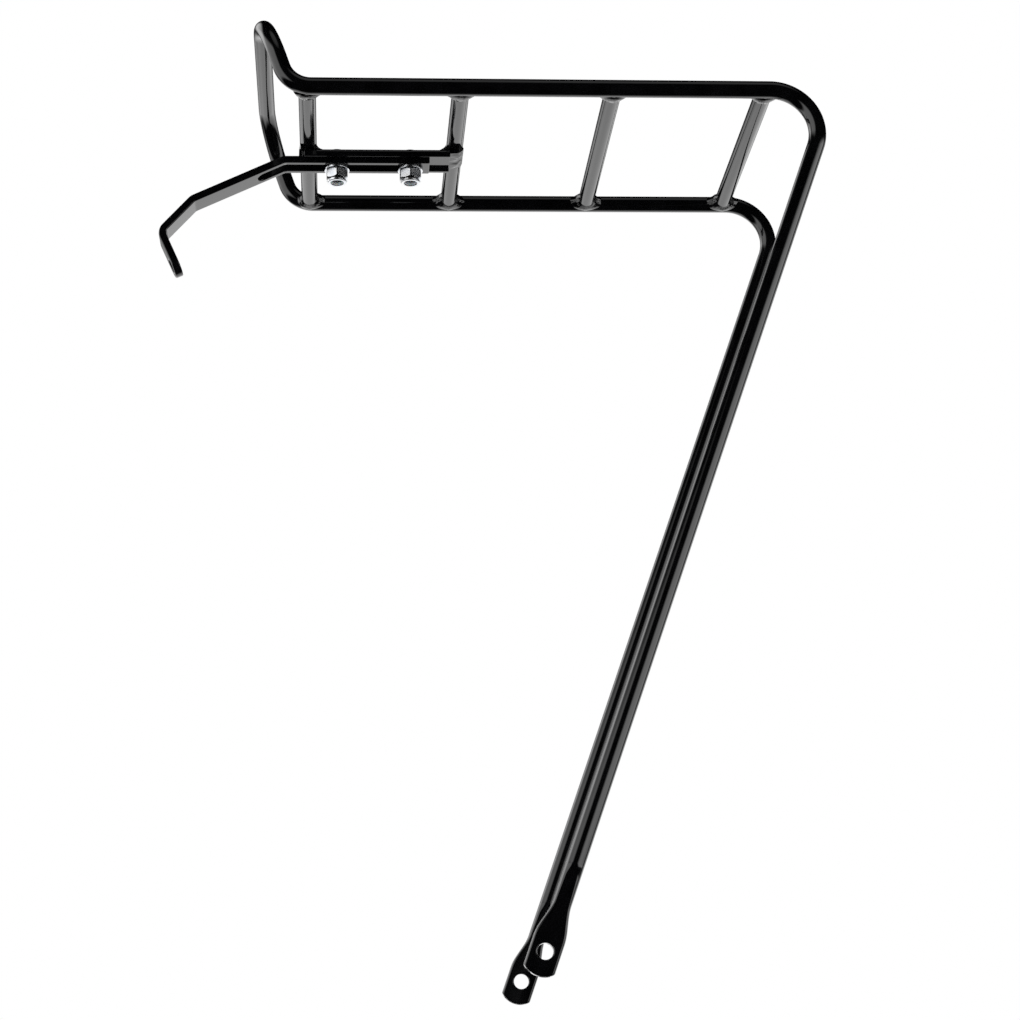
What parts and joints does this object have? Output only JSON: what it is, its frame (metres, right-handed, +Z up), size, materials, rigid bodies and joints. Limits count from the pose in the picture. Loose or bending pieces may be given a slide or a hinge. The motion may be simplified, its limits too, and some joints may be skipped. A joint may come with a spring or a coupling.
{
  "type": "bicycle front luggage rack",
  "caption": "Fixed front luggage rack for a bicycle: a bent rod forms the legs, side rails and rear hoop, with welded crossbars and a slotted stay bolted into a channel.",
  "frame": {"origin": "under the middle of the rack's box, at the height of the feet's lowest points", "axes": "+X towards the front of the bicycle, +Y to its left, +Z up"},
  "size_m": [0.307, 0.134, 0.4428],
  "materials": {
    "black_coat": "gloss black powder coat",
    "zinc": "bright zinc plate",
    "nylon": "natural nylon"
  },
  "bodies": {
    "rack_frame": {"frame_rod": "black_coat", "crossbar_1": "black_coat", "crossbar_2": "black_coat", "crossbar_3": "black_coat", "crossbar_4": "black_coat", "weld_1_right": "black_coat", "weld_1_left": "black_coat", "weld_2_right": "black_coat", "weld_2_left": "black_coat", "weld_3_right": "black_coat", "weld_3_left": "black_coat", "weld_4_right": "black_coat", "weld_4_left": "black_coat", "stay_channel": "black_coat", "channel_weld_1_rear": "black_coat", "channel_weld_1_front": "black_coat", "channel_weld_2_rear": "black_coat", "channel_weld_2_front": "black_coat", "bolt_1": "zinc", "washer_1": "zinc", "lock_nut_1": "zinc", "nylon_insert_1": "nylon", "bolt_2": "zinc", "washer_2": "zinc", "lock_nut_2": "zinc", "nylon_insert_2": "nylon"},
    "stay": {"stay": "black_coat"}
  },
  "joints": [
    {"name": "stay_slide", "type": "slide", "parent": "rack_frame", "child": "stay", "axis": [1, 0, 0], "range_m": [-0.002, 0.018]}
  ]
}
